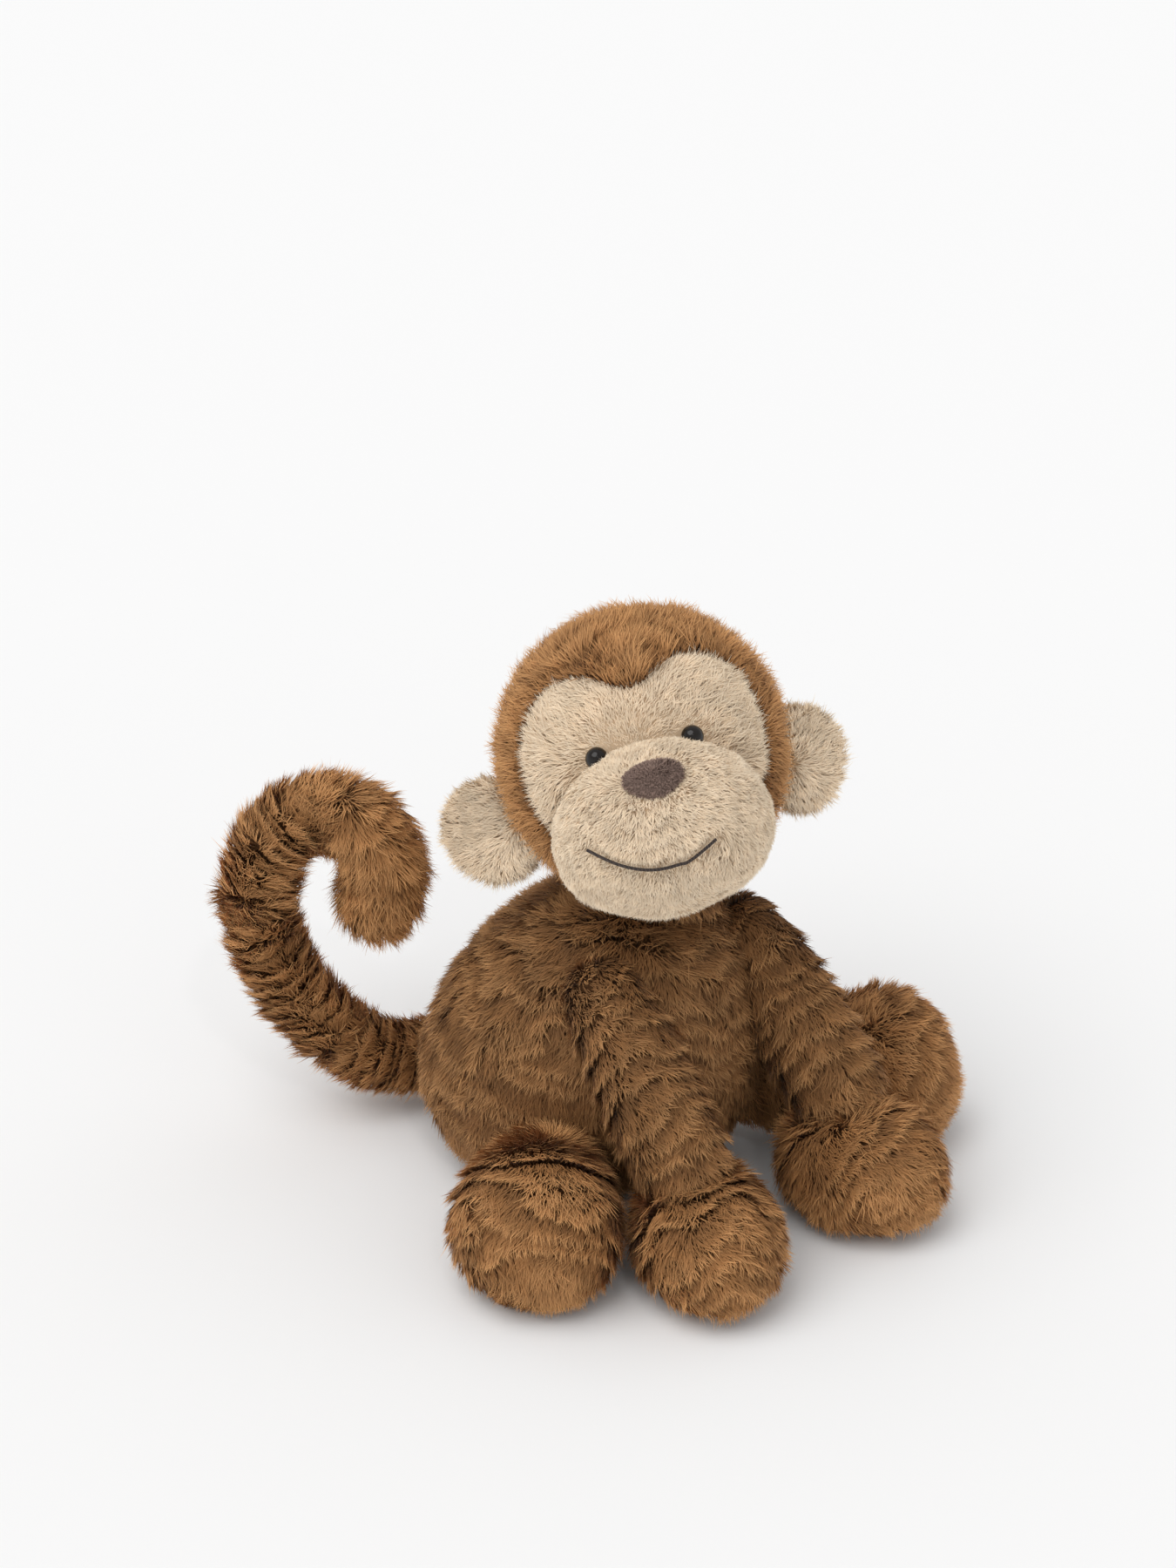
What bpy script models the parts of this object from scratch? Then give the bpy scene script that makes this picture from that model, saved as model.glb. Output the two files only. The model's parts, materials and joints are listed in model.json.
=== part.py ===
"""A seated plush monkey, built from its sewn covers, its fillings and its fixings.

Metres. The origin is the middle of the flat seat, -Y is the way the body faces, +Z is up and +X is
the toy's own left. Each cover is a 3 mm layer that stands for the knitted backing and the matted
root of its pile. Covers are open where they are sewn to their neighbour, and hold their filling.
"""

import math

import bmesh
import bpy
from mathutils import Matrix, Vector

# Sewing and clearances
COVER = 0.003
GAP = 0.0003
JOINT_GAP = 0.0008

# Body: an egg that leans forward and is flat where it sits
BODY_RADIUS = Vector((0.0535, 0.0520))
BODY_MID = 0.038
BODY_TOP = 0.106
BODY_LOW = 0.050
BODY_TAPER = 0.03
BODY_LEAN = 0.030
LEAN_POWER = 1.4
HEAD_CLEARANCE = 0.0035
ARM_CLEARANCE = 0.0015
SHOULDER_CLEARANCE = 0.0030
PELLET_CENTRE = Vector((0, -0.001, 0.014))
PELLET_RADII = Vector((0.031, 0.029, 0.0105))

# Neck and the head's pose on it
NECK = Vector((0.0080, -0.0365, 0.1060))
NECK_RADIUS = 0.012
HEAD_TURN = math.radians(-36.5)
HEAD_RAISE = math.radians(-18)
HEAD_LEAN = math.radians(-11.5)

# Head, in its own frame: origin at the neck, face towards -Y
SKULL = Vector((0, 0, 0.0470))
SKULL_RADII = Vector((0.0415, 0.0400, 0.0415))
FACE_OUTLINE = (  # across and up from the skull's middle, on the toy's left side, top to bottom
    (0.0000, 0.0265),
    (0.0150, 0.0310),
    (0.0290, 0.0235),
    (0.0350, 0.0080),
    (0.0325, -0.0120),
    (0.0230, -0.0300),
    (0.0000, -0.0350),
)
FACE_MIDDLE_UP = 0.004
FACE_PRISM_DEPTH = 0.030
FACE_PRISM_FORWARD = 0.036
MUZZLE = SKULL + Vector((0, -0.0400, -0.0150))
MUZZLE_RADII = Vector((0.0330, 0.0320, 0.0258))
JOWL = 0.10
NOSE_RADII = Vector((0.0090, 0.0040, 0.0066))
NOSE_FLARE = 0.34
NOSE_UP = 0.0185
NOSE_SLOPE = math.radians(38)
MOUTH_ACROSS = -0.0022
MOUTH_HALF_WIDTH = 0.0210
MOUTH_MID_Z = -0.0058
MOUTH_RISE = 0.0085
THREAD_RADIUS = 0.0006
EYE_ACROSS = 0.0145
EYE_UP = 0.0088
EYE_RADIUS = 0.00375
EYE_LIFT = 0.0013
EYE_SEAT = 0.0005
EYE_HOLE_DEPTH = 0.012
SHANK_RADIUS = 0.0016
SHANK_LENGTH = 0.0095
WASHER_RADIUS = 0.0060
WASHER_DEPTH = 0.0050
WASHER_THICKNESS = 0.0012
EAR_ACROSS = {1: 0.0462, -1: 0.0498}
EAR_MIDDLE = SKULL + Vector((0, 0.0030, -0.0140))
EAR_RADII = Vector((0.0150, 0.0015, 0.0155))
EAR_CUP = 0.0035
EAR_TURN = {1: math.radians(32), -1: math.radians(18)}
EAR_BASE_X = 0.0415
EAR_ROOT_GAP = 0.0027

# Limbs of the two sides (1 the toy's left, -1 its right), as the toy leans on its hands
SHOULDER = {1: Vector((0.0290, -0.0460, 0.0870)), -1: Vector((-0.0290, -0.0460, 0.0870))}
ELBOW = {1: Vector((0.0340, -0.0655, 0.0660)), -1: Vector((-0.0300, -0.0680, 0.0640))}
WRIST = {1: Vector((0.0378, -0.0815, 0.0445)), -1: Vector((-0.0272, -0.0795, 0.0445))}
ARM_RADII = (0.0115, 0.0122, 0.0128)
HAND_CENTRE = {1: Vector((0.0385, -0.0945, 0.0190)), -1: Vector((-0.0260, -0.0925, 0.0190))}
HAND_RADII = Vector((0.0203, 0.0250, 0.0200))
HAND_TURN = math.radians(25)
HIP = {1: Vector((0.0410, -0.0396, 0.0250)), -1: Vector((-0.0425, -0.0376, 0.0250))}
FOOT_CENTRE = {1: Vector((0.0760, -0.0665, 0.0240)), -1: Vector((-0.0680, -0.0590, 0.0240))}
FOOT_RADII = Vector((0.0240, 0.0190, 0.0255))
FOOT_TURN = math.radians(50)
LEG_RADII = (0.0125, 0.0150)
LEG_LIFT = math.radians(15)
LEG_CLEARANCE = 0.0012
LEG_REST_LENGTH = 0.03
SOLE_RADIUS = 0.0165
OPENING_RADIUS = 0.0065

# Tail: its root, then points of each section in one upright plane, as (along, up)
TAIL_ROOT = (Vector((-0.0190, 0.0470, 0.0155)), Vector((-0.0340, 0.0505, 0.0175)))
TAIL_DIRECTION = math.radians(140)
TAIL_PLANE_OFFSET = 0.0115
TAIL_CLEARANCE = 0.0010
TAIL_OPENING_RADIUS = 0.0045
SOCKET_REACH = 0.45  # how far past its end a section is cut back, in radii
TAIL_SECTIONS = (
    ((0.0700, 0.0230), (0.0830, 0.0320)),
    ((0.0830, 0.0320), (0.0955, 0.0480), (0.1035, 0.0670), (0.1055, 0.0860)),
    ((0.1055, 0.0860), (0.1015, 0.1030), (0.0925, 0.1130), (0.0840, 0.1155), (0.0760, 0.1145)),
    ((0.0760, 0.1145), (0.0690, 0.1100), (0.0648, 0.1010), (0.0640, 0.0915), (0.0662, 0.0835)),
)
TAIL_RADII = (0.0080, 0.0080, 0.0082, 0.0088, 0.0096)

Z_AXIS = Vector((0, 0, 1))


def clear_scene():
    """Start from an empty scene."""
    for obj in list(bpy.data.objects):
        bpy.data.objects.remove(obj)


def new_collection(name):
    collection = bpy.data.collections.new(name)
    bpy.context.scene.collection.children.link(collection)
    return collection


def make_material(name, colour, roughness=0.9):
    """A plain Principled material."""
    material = bpy.data.materials.new(name)
    material.use_nodes = True
    shader = material.node_tree.nodes["Principled BSDF"]
    shader.inputs["Base Color"].default_value = (*colour, 1)
    shader.inputs["Roughness"].default_value = roughness
    shader.inputs["Metallic"].default_value = 0
    return material


clear_scene()
PARTS = new_collection("plush_monkey")
HELPERS = new_collection("cutters")
BROWN = make_material("brown_pile", (0.22, 0.11, 0.045))
CREAM = make_material("cream_pile", (0.62, 0.48, 0.33))
NOSE_BROWN = make_material("nose_plush", (0.13, 0.09, 0.075))
THREAD = make_material("dark_thread", (0.05, 0.035, 0.03), 0.7)
EYE_BLACK = make_material("eye_plastic", (0.006, 0.006, 0.007), 0.08)
WASHER_WHITE = make_material("washer_plastic", (0.75, 0.75, 0.72), 0.5)
FILLING = make_material("fibre_filling", (0.85, 0.85, 0.82))
POUCH = make_material("pouch_cloth", (0.7, 0.7, 0.66))


def place(name, mesh, parent=None, material=None):
    """An object for a mesh in its parent's frame. With no material, it is a cutter or another helper."""
    obj = bpy.data.objects.new(name, mesh)
    (PARTS if material else HELPERS).objects.link(obj)
    obj.parent = parent
    if material:
        mesh.materials.clear()
        mesh.materials.append(material)
        mesh.shade_smooth()
        mesh.set_sharp_from_angle(angle=math.radians(40))
    else:
        obj.hide_render = True
        obj.display_type = "WIRE"
    return obj


def pivot(name, matrix, parent=None):
    """An empty on a joint's axis, which carries the pieces that move with it."""
    empty = bpy.data.objects.new(name, None)
    PARTS.objects.link(empty)
    empty.empty_display_size = 0.01
    empty.matrix_world = matrix
    empty.parent = parent
    if parent:
        empty.matrix_parent_inverse = parent.matrix_world.inverted()
    bpy.context.view_layer.update()
    return empty


def boolean(obj, other, operation="DIFFERENCE"):
    modifier = obj.modifiers.new(f"{operation.lower()} {other.name}", "BOOLEAN")
    modifier.operation = operation
    modifier.object = other
    return obj


def sphere_mesh(name, shape, segments=16, rings=10):
    """A UV sphere whose points are moved by shape, a function of the unit direction."""
    bm = bmesh.new()
    bmesh.ops.create_uvsphere(bm, u_segments=segments, v_segments=rings, radius=1)
    for vertex in bm.verts:
        vertex.co = shape(vertex.co.normalized())
    mesh = bpy.data.meshes.new(name)
    bm.to_mesh(mesh)
    bm.free()
    return mesh


def ellipsoid(name, centre, radii, rotation=None, inset=0.0, floor=None, parent=None, material=None,
              segments=16, rings=10):
    """An ellipsoid, inset evenly, turned by rotation and flat on the floor if it has one."""
    turn = rotation or Matrix.Identity(3)

    def shape(unit):
        point = centre + turn @ Vector([(r - inset) * c for r, c in zip(radii, unit)])
        if floor is not None:
            point.z = max(point.z, floor)
        return point

    return place(name, sphere_mesh(name, shape, segments, rings), parent, material)


def ball(name, centre, radius, parent=None, segments=12, rings=8):
    """A round cutter."""
    return ellipsoid(name, centre, (radius,) * 3, parent=parent, segments=segments, rings=rings)


def cylinder(name, start, direction, length, radius, parent=None, sides=16):
    """A round cutter from start along direction."""
    bm = bmesh.new()
    turn = direction.to_track_quat("Z", "Y").to_matrix().to_4x4()
    middle = Matrix.Translation(start + direction.normalized() * length / 2)
    bmesh.ops.create_cone(bm, cap_ends=True, segments=sides, radius1=radius, radius2=radius,
                          depth=length, matrix=middle @ turn)
    mesh = bpy.data.meshes.new(name)
    bm.to_mesh(mesh)
    bm.free()
    return place(name, mesh, parent)


def spline_points(points, radii, steps):
    """Points and radii on the smooth curve through the given ones, steps to each stretch."""
    ends = [2 * points[0] - points[1], *points, 2 * points[-1] - points[-2]]
    found = []
    for i in range(len(points) - 1):
        before, start, end, after = ends[i:i + 4]
        for step in range(steps + (i == len(points) - 2)):
            t = step / steps
            point = 0.5 * (2 * start + (end - before) * t
                           + (2 * before - 5 * start + 4 * end - after) * t ** 2
                           + (3 * start - before - 3 * end + after) * t ** 3)
            found.append((point, radii[i] + (radii[i + 1] - radii[i]) * t))
    return found


def dome(point, outward, radius):
    """The rings that round off a tube's end, on a ball about its end point."""
    angles = [math.radians(a) for a in (28, 55, 76)]
    return [(point + outward * radius * math.sin(a), radius * math.cos(a)) for a in angles]


def tube(name, points, radii, inset=0.0, steps=2, parent=None, material=None):
    """A tube through the points with both its ends domed, welded into one closed mesh."""
    run = [(p, r - inset) for p, r in spline_points(points, radii, steps)]
    (first, first_radius), (last, last_radius) = run[0], run[-1]
    start_way = (first - run[1][0]).normalized()
    end_way = (last - run[-2][0]).normalized()
    rings = [*reversed(dome(first, start_way, first_radius)), *run, *dome(last, end_way, last_radius)]
    curve = bpy.data.curves.new(name, "CURVE")
    curve.dimensions = "3D"
    curve.bevel_depth = 1
    curve.bevel_resolution = 3
    curve.use_fill_caps = True
    curve.twist_mode = "MINIMUM"
    spline = curve.splines.new("POLY")
    spline.points.add(len(rings) - 1)
    for spline_point, (point, radius) in zip(spline.points, rings):
        spline_point.co = (*point, 1)
        spline_point.radius = radius
    guide = bpy.data.objects.new(name + "_guide", curve)
    HELPERS.objects.link(guide)
    graph = bpy.context.evaluated_depsgraph_get()
    mesh = bpy.data.meshes.new_from_object(guide.evaluated_get(graph))
    mesh.name = name
    bpy.data.objects.remove(guide)
    bm = bmesh.new()
    bm.from_mesh(mesh)
    bmesh.ops.remove_doubles(bm, verts=bm.verts, dist=1e-6)
    bmesh.ops.recalc_face_normals(bm, faces=bm.faces)
    bm.to_mesh(mesh)
    bm.free()
    return place(name, mesh, parent, material)


# Body ---------------------------------------------------------------------------------------------

def body_mesh(name, inset):
    """The egg of the body, inset evenly, with its flat seat."""

    def shape(unit):
        rise = (BODY_TOP - BODY_MID if unit.z > 0 else BODY_LOW) - inset
        width = 1 - BODY_TAPER * max(unit.z, 0)
        z = max(BODY_MID + rise * unit.z, inset)
        lean = BODY_LEAN * (z / BODY_TOP) ** LEAN_POWER
        return Vector(((BODY_RADIUS.x - inset) * unit.x * width,
                       (BODY_RADIUS.y - inset) * unit.y * width - lean, z))

    return sphere_mesh(name, shape, segments=22, rings=12)


def make_body():
    """The body's cover, its fibre filling and the pouch of pellets in its seat."""
    cover = place("body_cover", body_mesh("body_cover", 0), material=BROWN)
    boolean(cover, place("body_hollow", body_mesh("body_hollow", COVER)))
    filling = place("body_filling", body_mesh("body_filling", COVER + GAP), material=FILLING)
    neck_hollow = ball("neck_hollow", NECK, NECK_RADIUS + JOINT_GAP)
    head_dish = skull("head_dish", -HEAD_CLEARANCE, None)
    head_dish.matrix_world = Matrix.Translation(NECK) @ head_pose()
    hollows = [neck_hollow, head_dish]
    for side in (1, -1):
        points = [SHOULDER[side], ELBOW[side], WRIST[side]]
        hollows.append(tube(f"arm_rest_{side}", points, ARM_RADII, -ARM_CLEARANCE))
        hollows.append(ball(f"shoulder_hollow_{side}", SHOULDER[side], ARM_RADII[0] + SHOULDER_CLEARANCE))
        hollows.append(ball(f"hip_hollow_{side}", HIP[side], LEG_RADII[0] + JOINT_GAP))
        level = (FOOT_CENTRE[side] - HIP[side]).normalized()
        up_leg = level * math.cos(LEG_LIFT) + Z_AXIS * math.sin(LEG_LIFT)
        raised = HIP[side] + up_leg * LEG_REST_LENGTH
        hollows.append(tube(f"leg_rest_{side}", [HIP[side], raised], LEG_RADII, -LEG_CLEARANCE, steps=1))
    tail_root = tail_points(0)
    tail_root_radii = [TAIL_RADII[0]] * len(tail_root)
    hollows.append(tube("tail_rest", tail_root, tail_root_radii, -TAIL_CLEARANCE, steps=1))
    for hollow in hollows:
        boolean(cover, hollow)
        boolean(filling, hollow)
    pouch_floor = COVER + GAP
    ellipsoid("pellet_pouch", PELLET_CENTRE, PELLET_RADII, floor=pouch_floor, material=POUCH)
    boolean(filling, ellipsoid("pouch_hollow", PELLET_CENTRE, PELLET_RADII, inset=-GAP, floor=0))


# Head ---------------------------------------------------------------------------------------------

def head_pose():
    """How the head is turned, raised and leaned on the neck."""
    return (Matrix.Rotation(HEAD_TURN, 4, "Z") @ Matrix.Rotation(HEAD_RAISE, 4, "X")
            @ Matrix.Rotation(HEAD_LEAN, 4, "Y"))


def skull(name, inset, head, material=None):
    return ellipsoid(name, SKULL, SKULL_RADII, inset=inset, parent=head, material=material,
                     segments=20, rings=12)


def face_prism(name, head, inset):
    """The face panel's outline, from the skull's middle out past its front."""
    half = [Vector((x, z)) for x, z in FACE_OUTLINE]
    outline = half + [Vector((-p.x, p.y)) for p in reversed(half[1:-1])]
    middle = Vector((0, FACE_MIDDLE_UP))
    curve = bpy.data.curves.new(name, "CURVE")
    curve.dimensions = "2D"
    curve.fill_mode = "BOTH"
    curve.extrude = FACE_PRISM_DEPTH
    spline = curve.splines.new("BEZIER")
    spline.use_cyclic_u = True
    spline.resolution_u = 4
    spline.bezier_points.add(len(outline) - 1)
    for knot, point in zip(spline.bezier_points, outline):
        inward = (middle - point).normalized() * inset
        knot.co = (*(point + inward), 0)
        knot.handle_left_type = knot.handle_right_type = "AUTO"
    guide = bpy.data.objects.new(name + "_guide", curve)
    HELPERS.objects.link(guide)
    graph = bpy.context.evaluated_depsgraph_get()
    mesh = bpy.data.meshes.new_from_object(guide.evaluated_get(graph))
    bpy.data.objects.remove(guide)
    bm = bmesh.new()
    bm.from_mesh(mesh)
    bmesh.ops.remove_doubles(bm, verts=bm.verts, dist=1e-6)
    bmesh.ops.recalc_face_normals(bm, faces=bm.faces)
    bm.to_mesh(mesh)
    bm.free()
    upright = Matrix.Rotation(math.radians(90), 4, "X")
    mesh.transform(Matrix.Translation(SKULL - Vector((0, FACE_PRISM_FORWARD, 0))) @ upright)
    return place(name, mesh, head)


def on_skull(across, up):
    """A point on the skull's front and the way its surface faces there."""
    share = 1 - (across / SKULL_RADII.x) ** 2 - (up / SKULL_RADII.z) ** 2
    offset = Vector((across, -SKULL_RADII.y * math.sqrt(share), up))
    outward = Vector([c / r ** 2 for c, r in zip(offset, SKULL_RADII)]).normalized()
    return SKULL + offset, outward


def jowls(share):
    """How much wider the muzzle is at this height, from -1 at its bottom to 1 at its top."""
    return 1 - JOWL * share


def muzzle(name, inset, head, material=None):
    """The muzzle's bean, wider towards the jaw."""

    def shape(unit):
        size = [r - inset for r in MUZZLE_RADII]
        return MUZZLE + Vector((size[0] * unit.x * jowls(unit.z), size[1] * unit.y, size[2] * unit.z))

    return place(name, sphere_mesh(name, shape, segments=20, rings=10), head, material)


def on_muzzle(across, up, proud):
    """A point on the muzzle's front, standing proud of it."""
    size = [r + proud for r in MUZZLE_RADII]
    share = 1 - (across / (size[0] * jowls(up / size[2]))) ** 2 - (up / size[2]) ** 2
    return MUZZLE + Vector((across, -size[1] * math.sqrt(share), up))


def turned(name, profile, matrix, parent, material, steps=16, ring=False):
    """A turned piece: a profile of (radius, height) from its top down its outer side, about Z."""
    mesh = bpy.data.meshes.new(name)
    edges = [(i, i + 1) for i in range(len(profile) - 1)]
    if ring:
        edges.append((len(profile) - 1, 0))
    mesh.from_pydata([(r, 0, h) for r, h in profile], edges, [])
    obj = place(name, mesh, parent, material)
    obj.matrix_local = matrix
    screw = obj.modifiers.new("turn", "SCREW")
    screw.steps = screw.render_steps = steps
    screw.use_merge_vertices = True
    screw.merge_threshold = 1e-5
    return obj


def make_eye(side, head, face, filling, muzzle_cover):
    """A domed eye on a shank, the washer that locks it inside the face, and the holes for both."""
    name = "left" if side > 0 else "right"
    point, outward = on_skull(side * EYE_ACROSS, EYE_UP)
    facing = outward.to_track_quat("Z", "Y").to_matrix().to_4x4()
    seat = Matrix.Translation(point) @ facing
    arc = [math.radians(a) for a in (90, 70, 50, 30, 10, -10)]
    dome_profile = [(EYE_RADIUS * math.cos(a), EYE_LIFT + EYE_RADIUS * math.sin(a)) for a in arc]
    dome_profile[0] = (0, dome_profile[0][1])
    flange = EYE_RADIUS * math.cos(arc[-1])
    profile = dome_profile + [(flange, EYE_SEAT), (SHANK_RADIUS, EYE_SEAT),
                              (SHANK_RADIUS, -SHANK_LENGTH), (0, -SHANK_LENGTH)]
    turned(name + "_eye", profile, seat, head, EYE_BLACK)
    top, bottom = -WASHER_DEPTH, -WASHER_DEPTH - WASHER_THICKNESS
    bore = SHANK_RADIUS + GAP
    washer = [(bore, top), (WASHER_RADIUS, top), (WASHER_RADIUS, bottom), (bore, bottom)]
    turned(name + "_eye_washer", washer, seat, head, WASHER_WHITE, ring=True)
    inward = -outward
    boolean(muzzle_cover, cylinder(name + "_eye_notch", point + inward * COVER / 2, outward,
                                   EYE_HOLE_DEPTH, EYE_RADIUS + GAP, head))
    boolean(face, cylinder(name + "_eye_hole", point + outward * COVER, inward, EYE_HOLE_DEPTH, bore,
                           head))
    under_face = point + inward * COVER / 3
    boolean(filling, cylinder(name + "_washer_hollow", under_face, inward,
                              WASHER_DEPTH + WASHER_THICKNESS + GAP, WASHER_RADIUS + GAP, head))
    boolean(filling, cylinder(name + "_shank_hollow", under_face, inward, SHANK_LENGTH, bore, head, 12))


def make_nose(head, muzzle_rim):
    """The plush nose, on the muzzle's upper slope."""
    middle = on_muzzle(0, NOSE_UP, 0)
    tilt = Matrix.Rotation(-NOSE_SLOPE, 3, "X")

    def shape(unit):
        wider_up = 1 + NOSE_FLARE * unit.z
        size = NOSE_RADII
        return middle + tilt @ Vector((size.x * unit.x * wider_up, size.y * unit.y, size.z * unit.z))

    boolean(place("nose", sphere_mesh("nose", shape, 18, 10), head, NOSE_BROWN), muzzle_rim)


def make_mouth(head):
    """The smile, one line of thick thread along the muzzle's front."""
    points = []
    for i in range(9):
        share = i / 4 - 1
        up = MOUTH_MID_Z + MOUTH_RISE * share ** 2
        across = MOUTH_ACROSS + share * MOUTH_HALF_WIDTH
        points.append(on_muzzle(across, up, THREAD_RADIUS + GAP))
    tube("mouth_stitch", points, [THREAD_RADIUS] * len(points), steps=1, parent=head, material=THREAD)


def make_ear(side, head):
    """An ear: a front and a back panel, cupped forwards and sewn together round the rim."""
    name = "left" if side > 0 else "right"
    centre = EAR_MIDDLE + Vector((side * EAR_ACROSS[side], 0, 0))
    turn = Matrix.Rotation(side * EAR_TURN[side], 3, "Z")
    root = head.matrix_world @ Matrix.Translation(EAR_MIDDLE + Vector((side * EAR_BASE_X, 0, 0)))
    ear = pivot(name + "_ear_pivot", root, head)
    clear_skull = skull(name + "_ear_root", -EAR_ROOT_GAP, head)
    for panel, way in (("front", -1), ("back", 1)):

        def shape(unit, way=way):
            depth = way * (EAR_RADII.y + GAP / 2) + EAR_RADII.y * unit.z
            cup = EAR_CUP * (unit.x ** 2 + unit.y ** 2)
            return centre + turn @ Vector((EAR_RADII.x * unit.x, depth - cup, EAR_RADII.z * unit.y))

        mesh = sphere_mesh(f"{name}_ear_{panel}", shape, 18, 8)
        panel_object = place(f"{name}_ear_{panel}", mesh, head, CREAM)
        boolean(panel_object, clear_skull)
        panel_object.parent = ear
        panel_object.matrix_parent_inverse = ear.matrix_world.inverted() @ head.matrix_world


def make_head():
    """The head and all that is sewn to it, on the empty that holds its pose."""
    at_neck = Matrix.Translation(NECK)
    neck = pivot("neck_pivot", at_neck)
    neck_cover = ellipsoid("neck_cover", Vector(), [NECK_RADIUS] * 3, parent=neck, material=BROWN)
    boolean(neck_cover, ellipsoid("neck_cover_hollow", Vector(), [NECK_RADIUS - COVER] * 3, parent=neck))
    boolean(neck_cover, ball("neck_opening", Z_AXIS * NECK_RADIUS, OPENING_RADIUS, neck))
    ellipsoid("neck_filling", Vector(), [NECK_RADIUS - COVER - GAP] * 3, parent=neck,
              material=FILLING)
    head = pivot("head_pivot", at_neck @ head_pose(), neck)
    neck_hollow = ball("head_neck_hollow", Vector(), NECK_RADIUS + JOINT_GAP, head)
    cover = skull("head_cover", 0, head, BROWN)
    face = skull("face_panel", 0, head, CREAM)
    inside = skull("skull_hollow", COVER, head)
    for shell in (cover, face):
        boolean(shell, inside)
    boolean(cover, face_prism("face_opening", head, 0))
    boolean(face, face_prism("face_edge", head, GAP), "INTERSECT")
    boolean(cover, neck_hollow)
    filling = skull("head_filling", COVER + GAP, head, FILLING)
    boolean(filling, neck_hollow)
    skull_rim = skull("skull_rim", -GAP, head)
    muzzle_cover = muzzle("muzzle_cover", 0, head, CREAM)
    boolean(muzzle_cover, muzzle("muzzle_hollow", COVER, head))
    boolean(muzzle_cover, skull_rim)
    boolean(muzzle("muzzle_filling", COVER + GAP, head, FILLING), skull_rim)
    make_nose(head, muzzle("muzzle_rim", -GAP, head))
    make_mouth(head)
    for side in (1, -1):
        make_eye(side, head, face, filling, muzzle_cover)
        make_ear(side, head)


# Limbs --------------------------------------------------------------------------------------------

def carry(pieces, joint):
    """Parent pieces modelled in the toy's frame to the empty on their joint."""
    for piece in pieces:
        piece.parent = joint
        piece.matrix_parent_inverse = joint.matrix_world.inverted()


def make_arm(side):
    """An arm's sleeve and filling, and the hand sewn to its end."""
    name = "left" if side > 0 else "right"
    points = [SHOULDER[side], ELBOW[side], WRIST[side]]
    up_arm = (points[0] - points[1]).normalized()
    past_wrist = (points[2] - points[1]).normalized()
    sleeve = tube(name + "_arm_cover", points, ARM_RADII, material=BROWN)
    boolean(sleeve, tube(name + "_arm_hollow", points, ARM_RADII, COVER))
    for end, tip in (("shoulder", points[0] + up_arm * ARM_RADII[0]),
                     ("wrist", points[2] + past_wrist * ARM_RADII[2])):
        boolean(sleeve, ball(f"{name}_{end}_opening", tip, OPENING_RADIUS))
    filling = tube(name + "_arm_filling", points, ARM_RADII, COVER + GAP, material=FILLING)
    shoulder = pivot(name + "_shoulder_pivot", Matrix.Translation(points[0]))
    carry((sleeve, filling), shoulder)

    centre = HAND_CENTRE[side]
    turn = Matrix.Rotation(side * HAND_TURN, 3, "Z")
    wrist_hollow = ball(name + "_wrist_hollow", points[2], ARM_RADII[2] + JOINT_GAP)
    hand = ellipsoid(name + "_hand_cover", centre, HAND_RADII, turn, floor=0, material=BROWN)
    boolean(hand, ellipsoid(name + "_hand_hollow", centre, HAND_RADII, turn, COVER, COVER))
    filled = ellipsoid(name + "_hand_filling", centre, HAND_RADII, turn, COVER + GAP, COVER + GAP,
                       material=FILLING)
    for piece in (hand, filled):
        boolean(piece, wrist_hollow)
    into_hand = points[2] + (centre - points[2]).normalized() * ARM_RADII[2]
    boolean(hand, ball(name + "_hand_opening", into_hand, OPENING_RADIUS))
    carry((hand, filled), pivot(name + "_wrist_pivot", Matrix.Translation(points[2]), shoulder))


def make_leg(side):
    """A leg: its cover with the foot's upper, the sole panel and the filling."""
    name = "left" if side > 0 else "right"
    hip, centre = HIP[side], FOOT_CENTRE[side]
    turn = Matrix.Rotation(side * FOOT_TURN, 3, "Z")
    sole_way = turn @ Vector((0, -1, 0))

    def foot(label, inset, floor, material=None):
        """The foot and the leg in one form, inset evenly."""
        form = ellipsoid(f"{name}_{label}", centre, FOOT_RADII, turn, inset, floor, material=material)
        stub = tube(f"{name}_{label}_stub", [hip, (hip + centre) / 2, centre],
                    (LEG_RADII[0], sum(LEG_RADII) / 2, LEG_RADII[1]), inset, steps=1)
        return boolean(form, stub, "UNION")

    hollow = foot("leg_hollow", COVER, COVER)
    cover = foot("leg_cover", 0, 0, BROWN)
    sole = foot("foot_sole", 0, 0, BROWN)
    for shell in (cover, sole):
        boolean(shell, hollow)
    boolean(cover, cylinder(name + "_sole_opening", centre, sole_way, 0.05, SOLE_RADIUS))
    boolean(sole, cylinder(name + "_sole_edge", centre, sole_way, 0.05, SOLE_RADIUS - GAP), "INTERSECT")
    hip_way = (hip - centre).normalized()
    tip = hip + hip_way * LEG_RADII[0]
    boolean(cover, ball(name + "_hip_opening", tip, OPENING_RADIUS))
    filling = foot("leg_filling", COVER + GAP, COVER + GAP, FILLING)
    carry((cover, sole, filling), pivot(name + "_hip_pivot", Matrix.Translation(hip)))


# Tail ---------------------------------------------------------------------------------------------

def tail_point(along, up):
    """A point of the tail's upright plane, in the toy's frame."""
    way = Vector((math.cos(TAIL_DIRECTION), math.sin(TAIL_DIRECTION), 0))
    across = Vector((way.y, -way.x, 0))
    return way * along + across * TAIL_PLANE_OFFSET + Z_AXIS * up


def tail_points(section):
    """A section's points, which for the first start at the tail's root."""
    points = [tail_point(*p) for p in TAIL_SECTIONS[section]]
    return points if section else [*TAIL_ROOT, *points]


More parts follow.
